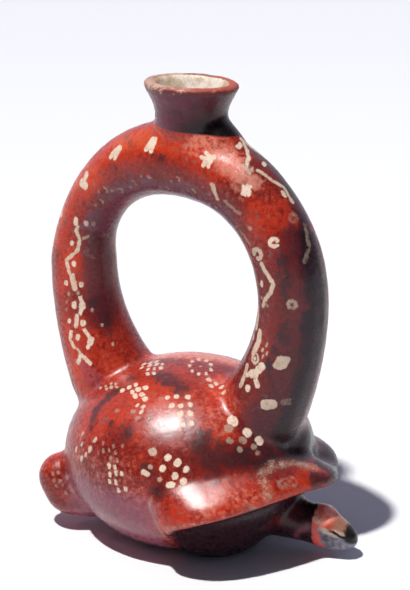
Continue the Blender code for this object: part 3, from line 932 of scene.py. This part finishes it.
snout_clay = (grain + swing * 0.4).above(0.58, 0.74).mix(snout_clay, tint(0.16, 0.060, 0.030))
# Painted light: the crown is far lighter than its red where the brim's shadow falls on it.
painted_light_crown_clay = (swing + speck * 0.4).above(-0.20, 0.25).mix(tint(1.0, 0.190, 0.130), tint(1.0, 0.430, 0.330))
crown_under_lamp = (forward * 0.8 - over_mouth + swing * 0.001).above(0.0014, 0.0044)
painted_light_crown_clay = crown_under_lamp.mix(painted_light_crown_clay, tint(0.46, 0.060, 0.030))
upper_clay = (forward + swing * 0.0014).above(0.0060, 0.0116).mix(painted_light_crown_clay, snout_clay)
upper_beak = (forward - over_mouth * 0.30 + swing * 0.0012).above(0.0132, 0.0156)
upper_clay = upper_beak.mix(upper_clay, tint(0.010, 0.008, 0.009))
head_clay = upper.mix(jaw_clay, upper_clay)
lower_beak = (forward + swing * 0.001).above(0.0136, 0.0156) * over_mouth.above(-0.0030, -0.0012)
head_clay = lower_beak.mix(head_clay, tint(0.012, 0.010, 0.011))
mouth_line = (1 - abs(over_mouth + 0.0003).above(0.0003, 0.0010)) * forward.above(0.0055, 0.0095)
head_clay = mouth_line.mix(head_clay, tint(0.010, 0.008, 0.008))
slip = head.mix(slip, head_clay)

# The painted marks, from each place beside its nearest stroke. Their edges are a little ragged,
# and the weaker a stroke is, the more of it is worn away.
along, across, _ = stored("stroke_place").parts()
half_length, half_width, taper = stored("stroke_size").parts()
strength = stored("stroke_strength", "Fac")
beyond = (abs(along) - half_length).maths("MAXIMUM", 0.0)
narrowed = half_width * (1 - taper * (along / (half_length + half_width + 0.01)).above(-1.0, 1.0))
distance = (beyond * beyond + across * across).maths("SQRT")
ragged = swing * 0.8 + speck * 0.6
painted = (narrowed - distance + ragged * strength.above(0.0, 0.2)).above(-0.26, 0.26)
thin = 1.1 - strength
left_on = (strength + (swing * 1.3 + speck * 1.6 + drift * 0.5) * thin - 0.1).above(0.16, 0.60)
painted = painted * strength.above(0.01, 0.1) * left_on * (1.0 - thin.above(0.2, 0.75) * 0.45)
cream = (grain + swing * 0.5).above(0.25, 0.60).mix(tint(0.58, 0.38, 0.26), tint(0.84, 0.68, 0.53))
cream = strength.above(0.98, 0.55).mix(cream, tint(0.38, 0.270, 0.195))
slip = (painted * 0.95).mix(slip, cream)

# Pale clay where the slip is worn through and where a highlight is painted along the brim's edges, the
# spout's lip, and the bare clay inside it.
pale_clay = (mottle + speck * 0.6).above(0.35, 0.75).mix(tint(0.34, 0.16, 0.09), tint(0.66, 0.49, 0.38))
bare_and_edge_lit = (worn_and_edge_lit + swing * 0.25 + speck * 1.7 + drift * 0.5).above(0.40, 0.95)
slip = (bare_and_edge_lit * 0.7).mix(slip, pale_clay)
rim_height = z + 0.080 * y
lip = (rim_height + swing * 0.0030 + drift * 0.0010).above(0.2300, 0.2311)
lip_clay = (mottle + drift + x * 14).above(0.30, 0.62).mix(tint(0.30, 0.100, 0.066), tint(0.46, 0.070, 0.040))
lip_clay = (rim_height + swing * 0.0016).above(0.2318, 0.2330).mix(tint(0.120, 0.024, 0.020), lip_clay)
chalky = speck * 0.6 + swing * 0.9 + drift * 0.8 - x * 14 - y * 6 + (rim_height - 0.2332) * 75
lip_clay = (chalky.above(-0.14, 0.34) * 0.85).mix(lip_clay, tint(0.66, 0.42, 0.32))
in_mouth = mouth.above(0.3, 0.6)
slip = (lip * (1 - in_mouth)).mix(slip, lip_clay)
whiter = blotches + speck * 0.5 + x * 8 - x.above(0.006, 0.015) * 0.42
inner_clay = whiter.above(0.26, 0.58).mix(tint(0.60, 0.42, 0.26), tint(0.97, 0.90, 0.80))
slip = in_mouth.mix(slip, inner_clay)

# The burnished slip has a soft shine. Cream, worn clay and the lip are matt.
matt = painted.maths("MAXIMUM", mouth)
roughness = 0.23 + mottle.above(0.3, 0.8) * 0.14 + matt * 0.35 + worn_and_edge_lit * 0.2 + lip * 0.25
relief = speck * 0.35 + swing * 0.6 + painted * 0.22 - mouth_line * head * 1.2
bump = start.node("ShaderNodeBump", None, {"Strength": 0.40, "Distance": 0.0004, "Height": relief}, "Normal")
for socket, wire in (("Base Color", slip), ("Roughness", roughness), ("Normal", bump)):
    burnished_slip.node_tree.links.new(wire.socket, shader.inputs[socket])
shader.inputs["Coat Weight"].default_value = 0.12
shader.inputs["Coat Roughness"].default_value = 0.20
shader.inputs["Specular IOR Level"].default_value = 0.27

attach(vessel, "root")
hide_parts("vessel")


# The stand-in for a studio: a pale floor, a lamp high in front with a wider one beside it that
# shows only in the gloss, and a white backdrop behind, with a dark room on the near side.
floor_mesh = bpy.data.meshes.new("floor")
floor_shape = bmesh.new()
bmesh.ops.create_grid(floor_shape, x_segments=1, y_segments=1, size=6.0)
floor_shape.to_mesh(floor_mesh)
floor_shape.free()
floor = bpy.data.objects.new("floor", floor_mesh)
bpy.context.scene.collection.objects.link(floor)
paper = bpy.data.materials.new("white_paper")
paper.use_nodes = True
paper_shader = paper.node_tree.nodes["Principled BSDF"]
sheet = Wire(paper.node_tree, None)
paper_x, paper_y, _ = sheet.node("ShaderNodeTexCoord", None, None, "Object").parts()
# Painted shade: the floor is greyer towards the back, where the light falls off.
far = (paper_y * 0.84 - paper_x * 0.54).above(0.0, 1.6)
floor_colour = far.mix(tint(0.94, 0.94, 0.95), tint(0.77, 0.78, 0.82))
paper.node_tree.links.new(floor_colour.socket, paper_shader.inputs["Base Color"])
paper_shader.inputs["Roughness"].default_value = 0.9
paper_shader.inputs["Specular IOR Level"].default_value = 0.0
floor_mesh.materials.append(paper)


def lamp(name, towards, spread, strength, colour):
    """A soft lamp, far off in that direction, that many degrees wide."""
    data = bpy.data.lights.new(name, "SUN")
    data.energy = strength
    data.angle = math.radians(spread)
    data.color = colour
    light = bpy.data.objects.new(name, data)
    light.rotation_euler = Vector(towards).to_track_quat("Z", "Y").to_euler()
    bpy.context.scene.collection.objects.link(light)
    return light


key = lamp("front_lamp", (-0.04, -0.39, 0.92), 2.4, 3.4, (1.0, 0.99, 0.97))
key.visible_glossy = False
sheen = lamp("sheen_lamp", (-0.14, -0.27, 0.95), 20, 8.5, (1.0, 0.99, 0.98))
sheen.visible_diffuse = False

world = bpy.data.worlds.new("studio")
bpy.context.scene.world = world
world.use_nodes = True
room = Wire(world.node_tree, None)
soft_fill = world.node_tree.nodes["Background"]
looking = room.node("ShaderNodeTexCoord", None, None, "Generated")


def facing(x, y, z):
    """How nearly this part of the room lies in that direction: 1 straight on, 0 to the side."""
    along_it = {0: looking, 1: (x, y, z)}
    return looking.node("ShaderNodeVectorMath", {"operation": "DOT_PRODUCT"}, along_it, "Value")


backdrop = facing(-0.54, 0.84, 0.0).above(0.0, 0.7)
open_side = facing(-0.30, 0.95, 0.0).above(-0.3, 0.6)
bounced = room.node("ShaderNodeLightPath", None, None, "Is Diffuse Ray")
in_gloss = 0.035 + backdrop * 0.80
on_matt = 0.08 + open_side * 0.30
brightness = bounced * on_matt + (1 - bounced) * in_gloss
world.node_tree.links.new(brightness.socket, soft_fill.inputs["Strength"])
tone_of_room = bounced.mix(tint(0.92, 0.82, 1.0), tint(0.68, 0.72, 1.0))
world.node_tree.links.new(tone_of_room.socket, soft_fill.inputs["Color"])
bpy.context.scene.view_settings.view_transform = "Standard"

# The camera stands to the right of the front, a little above, and looks at the middle of the vessel.
view_turn = math.radians(32.68)
view_rise = math.radians(18.75)
camera_distance = 1.38
aim = Vector((0.0072, 0.0024, 0.1254))
towards_camera = Vector(
    (
        math.sin(view_turn) * math.cos(view_rise),
        -math.cos(view_turn) * math.cos(view_rise),
        math.sin(view_rise),
    )
)
lens = bpy.data.cameras.new("camera")
lens.sensor_fit = "VERTICAL"
lens.sensor_height = 36.0
lens.lens = 170.9
camera = bpy.data.objects.new("camera", lens)
camera.location = aim + camera_distance * towards_camera
camera.rotation_euler = (-towards_camera).to_track_quat("-Z", "Y").to_euler()
bpy.context.scene.collection.objects.link(camera)
bpy.context.scene.camera = camera
